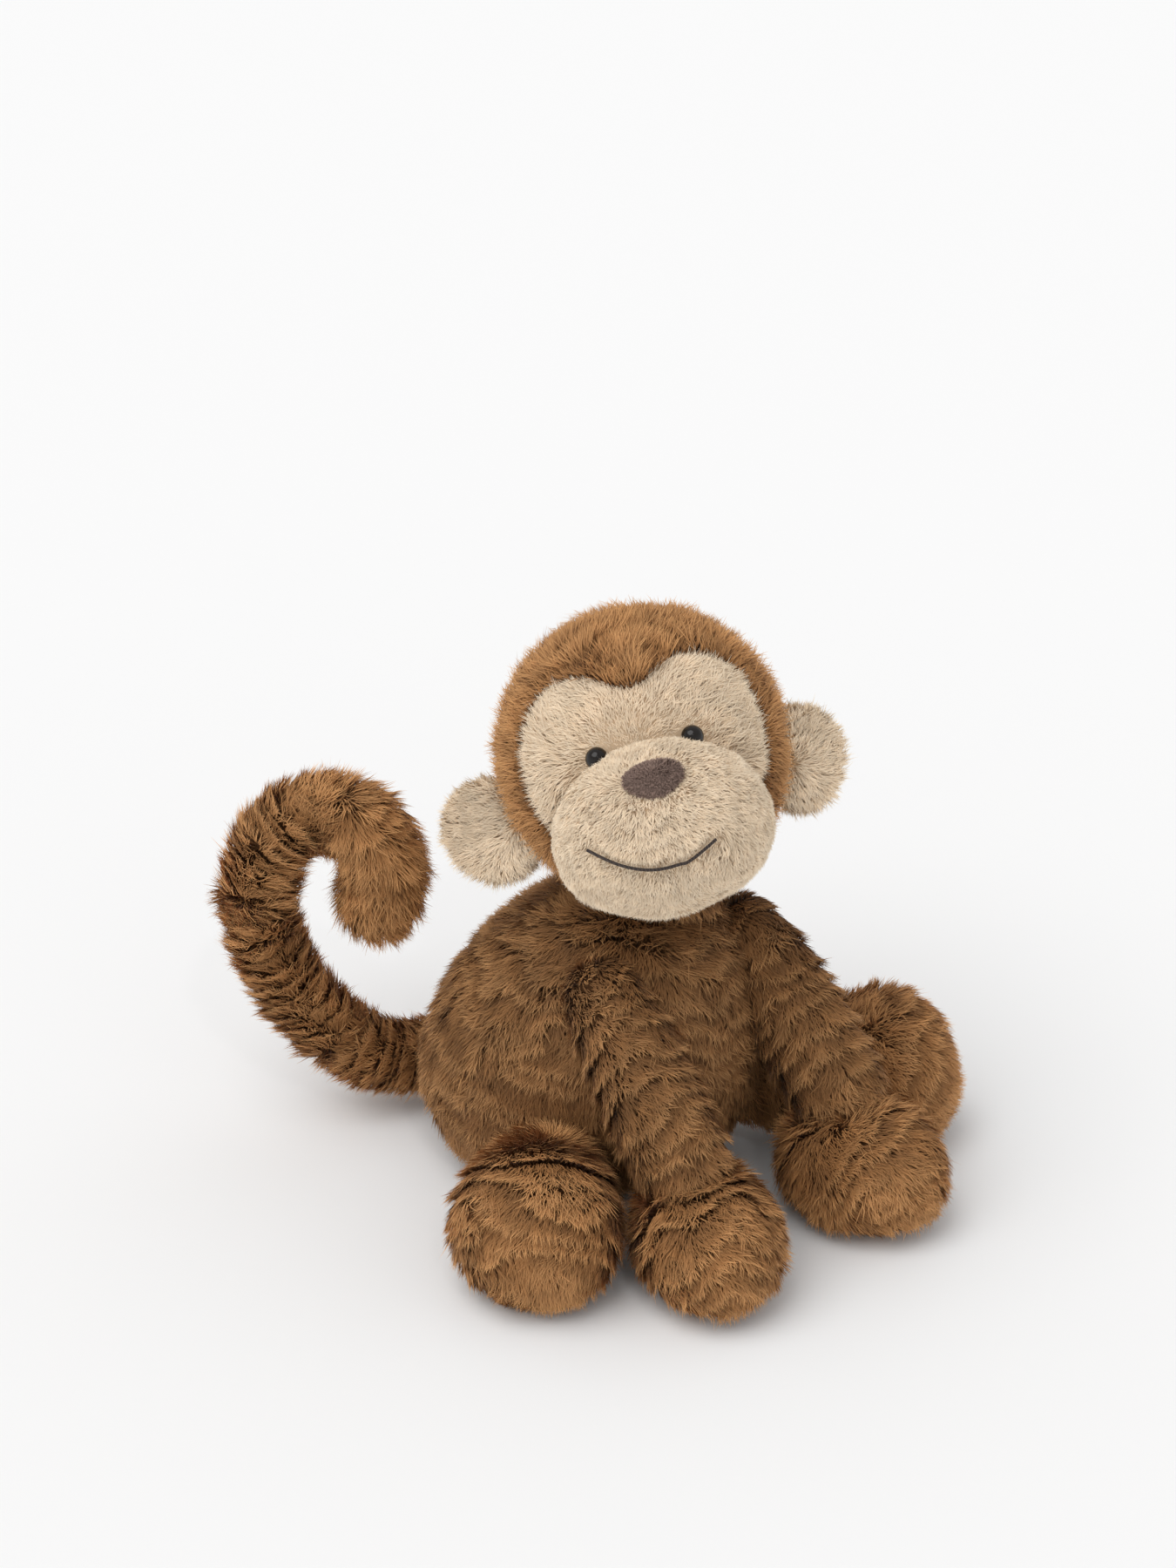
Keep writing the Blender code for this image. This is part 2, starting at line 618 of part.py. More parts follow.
def make_tail():
    """Four sections of the tail, each with its filling; each turns in the end of the one before."""
    parent = None
    for i in range(len(TAIL_SECTIONS)):
        label = f"tail_{i + 1}"
        points = tail_points(i)
        start, end = TAIL_RADII[i], TAIL_RADII[i + 1]
        radii = [start + (end - start) * k / (len(points) - 1) for k in range(len(points))]
        cover = tube(label + "_cover", points, radii, steps=1, material=BROWN)
        boolean(cover, tube(label + "_hollow", points, radii, COVER, steps=1))
        filling = tube(label + "_filling", points, radii, COVER + GAP, steps=1, material=FILLING)
        if i + 1 < len(TAIL_SECTIONS):
            # The end is cut back to a socket for the next section's dome.
            far = points[-1] + (points[-1] - points[-2]).normalized() * end * SOCKET_REACH
            next_start = ball(label + "_end", points[-1], end + JOINT_GAP)
            next_dome = ball(label + "_end_trim", far, end + JOINT_GAP)
            for piece in (cover, filling):
                boolean(piece, next_start)
                boolean(piece, next_dome)
        root_tip = points[0] + (points[0] - points[1]).normalized() * start
        boolean(cover, ball(label + "_opening", root_tip, TAIL_OPENING_RADIUS))
        parent = pivot(label + "_pivot", Matrix.Translation(points[0]), parent)
        carry((cover, filling), parent)


make_body()
make_head()
for which in (1, -1):
    make_arm(which)
    make_leg(which)
make_tail()
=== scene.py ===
"""Looks of the seated plush monkey: skins, standing pile, face details, floor, light and camera."""

import json
import math

import bmesh
import bpy
import numpy as np
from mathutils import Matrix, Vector
from mathutils.bvhtree import BVHTree


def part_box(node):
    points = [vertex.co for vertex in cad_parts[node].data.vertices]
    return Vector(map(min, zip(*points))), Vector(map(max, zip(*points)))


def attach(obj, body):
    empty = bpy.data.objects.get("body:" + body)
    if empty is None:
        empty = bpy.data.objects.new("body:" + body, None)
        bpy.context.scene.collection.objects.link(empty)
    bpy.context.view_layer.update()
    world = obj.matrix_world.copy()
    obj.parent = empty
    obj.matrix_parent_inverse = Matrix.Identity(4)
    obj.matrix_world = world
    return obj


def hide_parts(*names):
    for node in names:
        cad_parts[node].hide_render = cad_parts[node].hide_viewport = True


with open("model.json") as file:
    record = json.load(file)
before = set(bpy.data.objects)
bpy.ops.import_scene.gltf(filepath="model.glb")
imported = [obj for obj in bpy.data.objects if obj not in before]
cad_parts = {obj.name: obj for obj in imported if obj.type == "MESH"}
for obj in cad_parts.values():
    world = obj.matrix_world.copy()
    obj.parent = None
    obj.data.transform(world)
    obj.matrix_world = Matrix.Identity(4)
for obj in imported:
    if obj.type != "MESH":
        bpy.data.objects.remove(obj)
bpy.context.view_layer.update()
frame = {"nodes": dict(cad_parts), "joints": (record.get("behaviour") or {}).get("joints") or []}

JOINTS = {j["name"]: j for j in frame["joints"]}
NODES = frame["nodes"]
UP = np.array((0.0, 0.0, 1.0))
FLOOR = 0.0006  # how high over the floor the pile's tips are held
SKIN_FLOOR = 0.0002  # how high the skins are held
SEAM_MIX = 0.0002  # brown and cream pile both grow within this of the face panel's seam

# Pile lengths, in metres
HEAD_PILE = 0.0090
BODY_PILE = 0.0086
NECK_PILE = 0.0075
ARM_PILE = (0.0050, 0.0082)  # at the shoulder seam, and on the arm
HAND_PILE = LEG_PILE = 0.0084
TAIL_PILE, TAIL_PILE_GROWTH = 0.0084, 0.0003  # and how much longer on each section
FACE_PILE = (0.0030, 0.0078)  # between the eyes, and out on the brow
MUZZLE_PILE = 0.0038
NOSE_PILE_LENGTH = 0.0012
EAR_PILE = 0.0050

# How every pile is shaped
COMB_DRIFT, COMB_DRIFT_SIZE = 0.35, 0.022  # how far the lean wanders, and over what distance
ROW_DRIFT_SIZE = 0.020  # the distance over which rows wave
UPRIGHT_LIFT = 86  # degrees, where the slope points straight into the skin or out of it
LENGTH_SPREAD = (0.80, 1.10)
FLOOR_SHORT = 0.6  # the share of its length that pile has at the floor
# Painted shade in the gaps between rows: a strand that stands low in its row is coloured darker, toward the
# root colour.
ROW_GAP_SHADE = 1.35  # how much sooner a strand that stands low in its row takes the root's colour
BEND_SHARE = 0.30  # how much of the pull to row and tuft the strand's bend takes, the tip takes all

EYE_DOME = 0.0045  # how deep an eye's dome is taken to be
EYE_CLEARING = 0.0043  # no pile stands this close to an eye's middle
THREAD_RADIUS, THREAD_RISE = 0.0005, 0.0012  # the mouth thread, and how far it stands out of its CAD line
THREAD_TRIM = 0.0015  # taken off one end of the mouth line
THREAD_PARTS = 17

# Colours, linear. The dark root colours are painted shade deep in the pile.
BROWN = dict(root=(0.105, 0.048, 0.018), mid=(0.272, 0.128, 0.045), tip=(0.55, 0.297, 0.122))
CREAM = dict(root=(0.68, 0.50, 0.325), mid=(0.82, 0.655, 0.465), tip=(0.93, 0.80, 0.62))
NOSE = dict(root=(0.15, 0.098, 0.078), mid=(0.25, 0.168, 0.135), tip=(0.34, 0.24, 0.195))


# ---------------------------------------------------------------------------------------------------
# Small helpers


def unit(v):
    return v / np.maximum(np.linalg.norm(v, axis=-1, keepdims=True), 1e-12)


def joint_at(name):
    return np.array(JOINTS[name]["pos_m"], float)


def centre_of(node):
    low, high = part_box(node)
    return (np.array(low) + np.array(high)) / 2


def node_points(*names):
    """All the corners of these CAD nodes."""
    found = []
    for name in names:
        mesh = NODES[name].data
        co = np.empty(len(mesh.vertices) * 3)
        mesh.vertices.foreach_get("co", co)
        found.append(co.reshape(-1, 3))
    return np.concatenate(found)


def waves(points, size, seed, count=9):
    """Smooth noise between about -1 and 1, with features of about that size in metres."""
    rng = np.random.default_rng(seed)
    total = np.zeros(len(points))
    for _ in range(count):
        way = unit(rng.normal(size=3))
        scale = 2 * math.pi / (size * rng.uniform(0.7, 1.5))
        total += np.sin(points @ way * scale + rng.uniform(0, 2 * math.pi))
    return total / math.sqrt(count)


def step(value, low, high):
    """A smooth rise from 0 at low to 1 at high."""
    t = np.clip((value - low) / (high - low), 0, 1)
    return t * t * (3 - 2 * t)


def tufts_at(points, cell, seed):
    """For each point, the nearest of a jittered grid of tuft centres and that tuft's number, 0 to 1."""
    base = np.floor(points / cell).astype(np.int64)
    best = np.full(len(points), np.inf)
    centre = np.zeros_like(points)
    number = np.zeros(len(points))
    for dx in (-1, 0, 1):
        for dy in (-1, 0, 1):
            for dz in (-1, 0, 1):
                at = base + (dx, dy, dz)
                key = (at[:, 0] * 73856093) ^ (at[:, 1] * 19349663) ^ (at[:, 2] * 83492791) ^ seed
                parts = [((key * m + 12345) % 65521) / 65521.0 for m in (2654435, 40503, 9176231, 60493)]
                spot = (at + np.stack(parts[:3], axis=1)) * cell
                away = ((spot - points) ** 2).sum(axis=1)
                closer = away < best
                best = np.where(closer, away, best)
                centre[closer] = spot[closer]
                number[closer] = parts[3][closer]
    return centre, number


# ---------------------------------------------------------------------------------------------------
# Materials


def material(name):
    mat = bpy.data.materials.new(name)
    mat.use_nodes = True
    return mat, mat.node_tree, mat.node_tree.nodes["Principled BSDF"]


def pile_material(name, tones, vary=0.42, drift_by=0.38, sheen=0.04):
    """Standing pile: dark at the root as painted shade deep in the pile, and light at the tip, each tuft a
    little different.
    """
    mat, tree, shader = material(name)
    new, link = tree.nodes.new, tree.links.new
    along = new("ShaderNodeAttribute")
    along.attribute_name = "along"
    tuft = new("ShaderNodeAttribute")
    tuft.attribute_name = "tuft"
    ramp = new("ShaderNodeValToRGB")
    ramp.color_ramp.elements[0].color = (*tones["root"], 1)
    ramp.color_ramp.elements[1].color = (*tones["tip"], 1)
    middle = ramp.color_ramp.elements.new(0.52)
    middle.color = (*tones["mid"], 1)
    link(along.outputs["Fac"], ramp.inputs["Fac"])
    place = new("ShaderNodeTexCoord")
    noise = new("ShaderNodeTexNoise")
    noise.inputs["Scale"].default_value = 55
    noise.inputs["Detail"].default_value = 3
    link(place.outputs["Object"], noise.inputs["Vector"])
    value = new("ShaderNodeMath")
    value.operation = "MULTIPLY_ADD"
    value.inputs[1].default_value = vary
    value.inputs[2].default_value = 1 - vary / 2 - drift_by / 2
    link(tuft.outputs["Fac"], value.inputs[0])
    drift = new("ShaderNodeMath")
    drift.operation = "MULTIPLY_ADD"
    drift.inputs[1].default_value = drift_by
    link(noise.outputs["Fac"], drift.inputs[0])
    link(value.outputs[0], drift.inputs[2])
    change = new("ShaderNodeHueSaturation")
    link(ramp.outputs["Color"], change.inputs["Color"])
    link(drift.outputs[0], change.inputs["Value"])
    link(change.outputs["Color"], shader.inputs["Base Color"])
    shader.inputs["Roughness"].default_value = 0.72
    shader.inputs["Specular IOR Level"].default_value = 0.25
    shader.inputs["Sheen Weight"].default_value = sheen
    shader.inputs["Sheen Roughness"].default_value = 0.45
    return mat


def backing_material(name, colour):
    """Knitted backing with the matted root of the pile, dark as painted shade where it shows between strands:
    fine loops and soft blotches.
    """
    mat, tree, shader = material(name)
    new, link = tree.nodes.new, tree.links.new
    place = new("ShaderNodeTexCoord")
    loops = new("ShaderNodeTexVoronoi")
    loops.inputs["Scale"].default_value = 900
    blotch = new("ShaderNodeTexNoise")
    blotch.inputs["Scale"].default_value = 120
    blotch.inputs["Detail"].default_value = 4
    link(place.outputs["Object"], loops.inputs["Vector"])
    link(place.outputs["Object"], blotch.inputs["Vector"])
    ramp = new("ShaderNodeValToRGB")
    ramp.color_ramp.elements[0].color = (*[c * 0.6 for c in colour], 1)
    ramp.color_ramp.elements[1].color = (*[c * 1.5 for c in colour], 1)
    link(blotch.outputs["Fac"], ramp.inputs["Fac"])
    link(ramp.outputs["Color"], shader.inputs["Base Color"])
    bump = new("ShaderNodeBump")
    bump.inputs["Strength"].default_value = 0.4
    bump.inputs["Distance"].default_value = 0.0004
    link(loops.outputs["Distance"], bump.inputs["Height"])
    link(bump.outputs["Normal"], shader.inputs["Normal"])
    shader.inputs["Roughness"].default_value = 0.9
    shader.inputs["Specular IOR Level"].default_value = 0.1
    return mat


def eye_material():
    """Glossy black plastic with a trace of brown."""
    mat, tree, shader = material("eye_plastic_looks")
    noise = tree.nodes.new("ShaderNodeTexNoise")
    noise.inputs["Scale"].default_value = 300
    ramp = tree.nodes.new("ShaderNodeValToRGB")
    ramp.color_ramp.elements[0].color = (0.006, 0.0045, 0.004, 1)
    ramp.color_ramp.elements[1].color = (0.012, 0.008, 0.006, 1)
    tree.links.new(noise.outputs["Fac"], ramp.inputs["Fac"])
    tree.links.new(ramp.outputs["Color"], shader.inputs["Base Color"])
    shader.inputs["Roughness"].default_value = 0.05
    shader.inputs["Specular IOR Level"].default_value = 0.35
    return mat


def thread_material():
    """Dark twisted thread."""
    mat, tree, shader = material("dark_thread_looks")
    new, link = tree.nodes.new, tree.links.new
    place = new("ShaderNodeTexCoord")
    twist = new("ShaderNodeTexWave")
    twist.inputs["Scale"].default_value = 400
    twist.inputs["Distortion"].default_value = 1.5
    link(place.outputs["Object"], twist.inputs["Vector"])
    ramp = new("ShaderNodeValToRGB")
    ramp.color_ramp.elements[0].color = (0.018, 0.011, 0.009, 1)
    ramp.color_ramp.elements[1].color = (0.060, 0.040, 0.032, 1)
    link(twist.outputs["Fac"], ramp.inputs["Fac"])
    link(ramp.outputs["Color"], shader.inputs["Base Color"])
    bump = new("ShaderNodeBump")
    bump.inputs["Distance"].default_value = 0.0003
    link(twist.outputs["Fac"], bump.inputs["Height"])
    link(bump.outputs["Normal"], shader.inputs["Normal"])
    shader.inputs["Roughness"].default_value = 0.6
    return mat


def plastic_material():
    """Milky washer plastic with faint flow marks."""
    mat, tree, shader = material("washer_plastic_looks")
    noise = tree.nodes.new("ShaderNodeTexNoise")
    noise.inputs["Scale"].default_value = 200
    ramp = tree.nodes.new("ShaderNodeValToRGB")
    ramp.color_ramp.elements[0].color = (0.68, 0.68, 0.65, 1)
    ramp.color_ramp.elements[1].color = (0.80, 0.80, 0.78, 1)
    tree.links.new(noise.outputs["Fac"], ramp.inputs["Fac"])
    tree.links.new(ramp.outputs["Color"], shader.inputs["Base Color"])
    shader.inputs["Roughness"].default_value = 0.45
    return mat


BROWN_PILE = pile_material("brown_pile_looks", BROWN)
CREAM_PILE = pile_material("cream_pile_looks", CREAM, 0.20, 0.16)
NOSE_PILE = pile_material("nose_pile_looks", NOSE, 0.3, 0.3)
# The backings are coloured dark as painted shade where they show between the strands.
BROWN_BACKING = backing_material("brown_backing", (0.105, 0.049, 0.020))
CREAM_BACKING = backing_material("cream_backing", (0.52, 0.38, 0.25))
NOSE_BACKING = backing_material("nose_backing", (0.16, 0.11, 0.092))


# ---------------------------------------------------------------------------------------------------
# Skins: the sewn cover without its pile


def link_mesh(name, mesh, mat, body):
    """A piece of the looks that rides on a body, with its material."""
    obj = bpy.data.objects.new(name, mesh)
    bpy.context.scene.collection.objects.link(obj)
    mesh.materials.clear()
    mesh.materials.append(mat)
    mesh.shade_smooth()
    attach(obj, body)
    return obj


def applied(mesh, *modifiers):
    """The mesh after these modifiers, each (type, settings)."""
    obj = bpy.data.objects.new("shaping", mesh)
    bpy.context.scene.collection.objects.link(obj)
    for kind, settings in modifiers:
        modifier = obj.modifiers.new(kind, kind)
        for key, value in settings.items():
            setattr(modifier, key, value)
    graph = bpy.context.evaluated_depsgraph_get()
    done = bpy.data.meshes.new_from_object(obj.evaluated_get(graph))
    bpy.data.objects.remove(obj)
    return done


def skin_mesh(name, nodes, hull, voxel=0.0016, smooth=6, swell=0.0):
    """One closed skin round these CAD nodes, smoothed from their facets."""
    bm = bmesh.new()
    if hull:
        for point in node_points(*nodes):
            bm.verts.new(point)
        found = bmesh.ops.convex_hull(bm, input=bm.verts)
        spare = found["geom_interior"] + found["geom_unused"]
        inner = {v for v in spare if isinstance(v, bmesh.types.BMVert)}
        bmesh.ops.delete(bm, geom=list(inner), context="VERTS")
    else:
        for node in nodes:
            bm.from_mesh(NODES[node].data)
    mesh = bpy.data.meshes.new(name)
    bm.to_mesh(mesh)
    bm.free()
    shaped = [("REMESH", dict(mode="VOXEL", voxel_size=voxel, adaptivity=0.0)),
              ("SMOOTH", dict(factor=0.5, iterations=smooth))]
    if swell:
        shaped.append(("DISPLACE", dict(strength=swell, mid_level=0.0)))
    done = applied(mesh, *shaped)
    done.name = name
    for vertex in done.vertices:
        vertex.co.z = max(vertex.co.z, SKIN_FLOOR)
    return done


class Surface:
    """A skin as arrays, for planting pile on it."""

    def __init__(self, mesh):
        mesh.calc_loop_triangles()
        count = len(mesh.vertices)
        self.points = np.empty(count * 3)
        mesh.vertices.foreach_get("co", self.points)
        self.points = self.points.reshape(-1, 3)
        self.faces = np.empty(len(mesh.loop_triangles) * 3, np.int64)
        mesh.loop_triangles.foreach_get("vertices", self.faces)
        self.faces = self.faces.reshape(-1, 3)
        a, b, c = (self.points[self.faces[:, k]] for k in range(3))
        cross = np.cross(b - a, c - a)
        self.areas = np.linalg.norm(cross, axis=1) / 2
        self.normals = np.zeros_like(self.points)
        for k in range(3):
            np.add.at(self.normals, self.faces[:, k], cross)
        self.normals = unit(self.normals)

    def tree(self):
        return BVHTree.FromPolygons([Vector(p) for p in self.points], [tuple(f) for f in self.faces])

    def plant(self, density, rng, weight=None):
        """Random places on it: points, normals, and the weight's value there."""
        count = int(self.areas.sum() * 1e4 * density)
        which = rng.choice(len(self.faces), size=count, p=self.areas / self.areas.sum())
        u, v = rng.random(count), rng.random(count)
        flip = u + v > 1
        u[flip], v[flip] = 1 - u[flip], 1 - v[flip]
        share = np.stack((1 - u - v, u, v), axis=1)[:, :, None]
        corner = self.faces[which]
        points = (self.points[corner] * share).sum(axis=1)
        normals = unit((self.normals[corner] * share).sum(axis=1))
        value = None if weight is None else (weight[corner] * share[:, :, 0]).sum(axis=1)
        return points, normals, value


def depth_in(tree, points):
    """How far each point is outside the closed surface, negative inside."""
    found = np.empty(len(points))
    for i, point in enumerate(points):
        at, normal, _, away = tree.find_nearest(Vector(point))
        found[i] = away if (Vector(point) - at).dot(normal) > 0 else -away
    return found


def cad_tree(node):
    """A CAD node's surface, for finding the nearest place on it."""
    mesh = NODES[node].data
    return BVHTree.FromPolygons([v.co for v in mesh.vertices], [tuple(p.vertices) for p in mesh.polygons])


def gap_to(tree, points):
    """The plain distance from each point to the surface."""
    return np.array([tree.find_nearest(Vector(point))[3] for point in points])


# ---------------------------------------------------------------------------------------------------
# Pile


def grow(name, places, potential, mat, body, length, lift=(72, 48), row=0.0080, row_pull=0.74,
         cell=0.0038, tuft_pull=0.50, width=0.00036, wander=0.22, seed=1, rows_shape=0.0036, droop=0.05,
         tone=0.0, step_down=0.46, crest=0.65, high_first=False):
    """A mesh of standing pile on these places. Each strand is a bent, tapered blade. Strands lean along
    the slope of potential, close up into rows across it, and into tufts along the rows. In a row they
    step up from low to high, or with high_first from high to low. lift is the angle from the skin, in
    degrees, at the root and toward the tip."""
    rng = np.random.default_rng(seed)
    points, normals = places
    count = len(points)
    small = 0.0004
    slope = np.stack([(potential(points + small * e) - potential(points - small * e)) / (2 * small)
                      for e in np.eye(3)], axis=1)
    drift = np.stack([waves(points, COMB_DRIFT_SIZE, seed * 10 + k) for k in range(3)], axis=1)
    slope += COMB_DRIFT * drift
    along = slope - (slope * normals).sum(axis=1, keepdims=True) * normals
    comb = unit(along)
    upright = 1 - step(np.linalg.norm(along, axis=1) / np.linalg.norm(slope, axis=1), -0.25, 1.0)[:, None]
    side = np.cross(normals, comb)
    phase = (potential(points) + rows_shape * waves(points, ROW_DRIFT_SIZE, seed + 5, 5)) / row
    within = phase - np.floor(phase)
    fall = step_down * (within if high_first else 1 - within) * (1 - upright[:, 0])
    lengths = length(points) if callable(length) else np.full(count, length)
    lengths = lengths * rng.uniform(*LENGTH_SPREAD, count) * (1 - fall)
    lengths *= FLOOR_SHORT + (1 - FLOOR_SHORT) * step(points[:, 2] + 0.006 * normals[:, 2], 0.000, 0.010)
    centre, number = tufts_at(points, cell, seed)
    to_tuft = centre - points
    to_tuft -= (to_tuft * normals).sum(axis=1, keepdims=True) * normals
    reach = np.linalg.norm(to_tuft, axis=1, keepdims=True)
    to_tuft *= np.minimum(1, cell * 0.8 / np.maximum(reach, 1e-9))

    scale = (lengths / np.percentile(lengths, 90))[:, None]
    jitter = rng.normal(size=(count, 1)) * wander
    low, high = (math.radians(a) + math.radians(UPRIGHT_LIFT - a) * upright for a in lift)
    start = comb * np.cos(low) + normals * np.sin(low) + side * jitter
    ending = comb * np.cos(high) + normals * np.sin(high) + side * jitter * 1.5
    shift = ((crest - within) * row * row_pull)[:, None] * comb
    bend = points + lengths[:, None] * 0.5 * start + BEND_SHARE * (shift + tuft_pull * to_tuft) * scale
    tip = points + lengths[:, None] * ending + (shift + tuft_pull * to_tuft) * scale
    tip -= UP * (lengths * droop)[:, None]
    tip += rng.normal(size=(count, 3)) * (lengths * 0.05)[:, None]
    for place in (bend, tip):
        place[:, 2] = np.maximum(place[:, 2], FLOOR)

    strand = unit(tip - points)
    across = unit(np.cross(strand, normals) + 1e-6)
    other = np.cross(strand, across)
    angle = rng.uniform(-0.9, 0.9, count)[:, None]
    across = across * np.cos(angle) + other * np.sin(angle)
    half = across * (width / 2)
    verts = np.stack((points - half * 0.8, points + half * 0.8, bend + half, bend - half, tip), axis=1)
    verts[:, :, 2] = np.maximum(verts[:, :, 2], FLOOR / 2)
    base = np.arange(count)[:, None] * 5
    quads, tris = base + (0, 1, 2, 3), base + (3, 2, 4)
    mesh = bpy.data.meshes.new(name)
    mesh.vertices.add(count * 5)
    mesh.vertices.foreach_set("co", verts.reshape(-1).astype(np.float32))
    mesh.loops.add(count * 7)
    mesh.loops.foreach_set("vertex_index", np.concatenate((quads, tris), axis=1).reshape(-1).astype(np.int32))
    mesh.polygons.add(count * 2)
    starts = (np.arange(count)[:, None] * 7 + (0, 4)).reshape(-1)
    mesh.polygons.foreach_set("loop_start", starts.astype(np.int32))
    mesh.update(calc_edges=True)
    # Painted shade between rows: a strand that stands low in its row keeps the dark root colour further along
    # its length.
    row_shade_reach = 1 - ROW_GAP_SHADE * fall
    for label, values in (("along", (row_shade_reach[:, None] * (0.0, 0.0, 0.55, 0.55, 1.0)).reshape(-1)),
                          ("tuft", np.repeat(number + 0.25 * rng.random(count) + tone, 5))):
        attribute = mesh.attributes.new(label, "FLOAT", "POINT")
        attribute.data.foreach_set("value", values.astype(np.float32))
    obj = link_mesh(name, mesh, mat, body)
    facing = unit(np.cross(across, tip - points))
    facing *= np.sign((facing * normals).sum(axis=1, keepdims=True) + 1e-9)
    soft = unit(facing * 0.5 + normals * 0.75)
    mesh.normals_split_custom_set_from_vertices(np.repeat(soft, 5, axis=0).tolist())
    return obj


SKINS = {}


def skin(name, nodes, mat, body, slot, hull=True, fill=0.85, **shape):
    """The padded skin that stands for these CAD covers and the filling under each."""
    mesh = skin_mesh(name, nodes, hull, **shape)
    SKINS[name] = Surface(mesh)
    obj = link_mesh(name, mesh, mat, body)
    inner = [n.replace("_cover", "_filling") for n in nodes if n.endswith("_cover")]
    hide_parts(*nodes, *[n for n in inner if n in NODES])
    return obj


skin("body_skin", ["body_cover"], BROWN_BACKING, "torso", "brown_pile")
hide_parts("pellet_pouch")
skin("neck_skin", ["neck_cover"], BROWN_BACKING, "neck", "brown_pile")
skin("head_skin", ["head_cover", "face_panel"], BROWN_BACKING, "head", "brown_pile", voxel=0.0013)
skin("face_skin", ["face_panel"], CREAM_BACKING, "head", "cream_pile", hull=False, voxel=0.0010,
     smooth=2, swell=0.0005)
skin("muzzle_skin", ["muzzle_cover"], CREAM_BACKING, "head", "cream_pile", voxel=0.0012, smooth=3)
skin("nose_skin", ["nose"], NOSE_BACKING, "head", "nose_plush", voxel=0.0007, smooth=3)
for side in ("left", "right"):
    skin(f"{side}_arm_skin", [f"{side}_arm_cover"], BROWN_BACKING, f"{side}_arm", "brown_pile")
    skin(f"{side}_hand_skin", [f"{side}_hand_cover"], BROWN_BACKING, f"{side}_hand", "brown_pile")
    skin(f"{side}_leg_skin", [f"{side}_leg_cover", f"{side}_foot_sole"], BROWN_BACKING, f"{side}_leg",
         "brown_pile")
    skin(f"{side}_ear_skin", [f"{side}_ear_front", f"{side}_ear_back"], CREAM_BACKING, f"{side}_ear",
         "cream_pile", hull=False, voxel=0.0009, smooth=3)
for i in range(1, 5):
    names = [f"tail_{i}_cover", f"tail_{i}_filling"]
    skin(f"tail_{i}_skin", names, BROWN_BACKING, f"tail_{i}", "brown_pile", hull=False, voxel=0.0011,
         smooth=4)

TREES = {name: surface.tree() for name, surface in SKINS.items()}
HEAD_CAD = cad_tree("head_cover")
FACE_CAD = cad_tree("face_panel")

# Landmarks of the face: the middle of each eye's dome, the line through the eyes and the place between
# them, the middles of the head, nose and muzzle, and the way the face looks
EYES = {}
for side in ("left", "right"):
    washer = centre_of(f"{side}_eye_washer")
    beads = node_points(f"{side}_eye")
    out = unit(centre_of(f"{side}_eye") - washer)
    reach = (beads @ out).max()
    EYES[side] = beads[(beads @ out) > reach - EYE_DOME].mean(axis=0)
EYE_LINE = unit(EYES["left"] - EYES["right"])
BRIDGE = (EYES["left"] + EYES["right"]) / 2
HEAD = (node_points("head_filling").max(axis=0) + node_points("head_filling").min(axis=0)) / 2
NOSE_AT = centre_of("nose")
MUZZLE_AT = centre_of("muzzle_filling")
FACE_WAY = unit(BRIDGE - HEAD)


def mouth_line():
    """The stitched smile's middle line, from one cheek to the other."""
    points = node_points("mouth_stitch")
    across = points @ EYE_LINE
    edges = np.linspace(across.min(), across.max() - THREAD_TRIM, THREAD_PARTS + 1)
    line = []
    for low, high in zip(edges, edges[1:]):
        inside = (across >= low) & (across <= high)
        if inside.any():
            line.append(points[inside].mean(axis=0))
    return np.array(line)


MOUTH = mouth_line()
SEAM = np.array([NOSE_AT, MOUTH[len(MOUTH) // 2]])


def from_line(points, line):
    """Distance from the nearest stretch of a line."""
    best = np.full(len(points), np.inf)
    for a, b in zip(line, line[1:]):
        way = b - a
        t = np.clip(((points - a) @ way) / (way @ way), 0, 1)[:, None]
        best = np.minimum(best, np.linalg.norm(points - a - t * way, axis=1))
    return best


def planted(name, density, hidden_by, seed, extra=None, above=0.0012):
    """Places on a skin that no neighbouring skin covers, clear of the floor. density is per cm2."""
    surface = SKINS[name]
    cover = np.full(len(surface.points), 1.0)
    for other in hidden_by:
        cover = np.minimum(cover, depth_in(TREES[other], surface.points))
    points, normals, out = surface.plant(density, np.random.default_rng(seed), cover)
    keep = (out > -0.0008) & ~((points[:, 2] < above) & (normals[:, 2] < -0.3))
    if extra is not None:
        keep &= extra(points)
    return points[keep], normals[keep]


def downward(p):
    """A slope for grow: the pile leans down."""
    return -(p @ UP)


def toward(way):
    """A slope for grow: the pile leans along this way."""
    return lambda p: p @ way


def away_from(place):
    """A slope for grow: the pile leans out from this place."""
    return lambda p: np.linalg.norm(p - place, axis=1)


def eye_gap(p):
    """The distance from the nearer eye."""
    return np.minimum(*[np.linalg.norm(p - EYES[s], axis=1) for s in EYES])


# ---------------------------------------------------------------------------------------------------
# Pile of the head. The head's skin is brown where the head cover is nearer, and cream on the face panel.
head_points = SKINS["head_skin"].points
brown_side = gap_to(FACE_CAD, head_points) - gap_to(HEAD_CAD, head_points)
points, normals, on_brown = SKINS["head_skin"].plant(360, np.random.default_rng(11), brown_side)
brown, cream = on_brown > -SEAM_MIX, on_brown < SEAM_MIX


def head_length(p):
    """Shorter where the head comes near the body."""
    return HEAD_PILE * (0.40 + 0.60 * step(depth_in(TREES["body_skin"], p), 0.002, 0.014))


grow("head_pile", (points[brown], normals[brown]), toward(0.25 * UP - FACE_WAY), BROWN_PILE, "head",
     head_length, lift=(82, 56), seed=21, droop=0.0, tuft_pull=0.65, tone=0.85,
     row_pull=0.80, step_down=0.36, rows_shape=0.0045, crest=0.30, high_first=True)


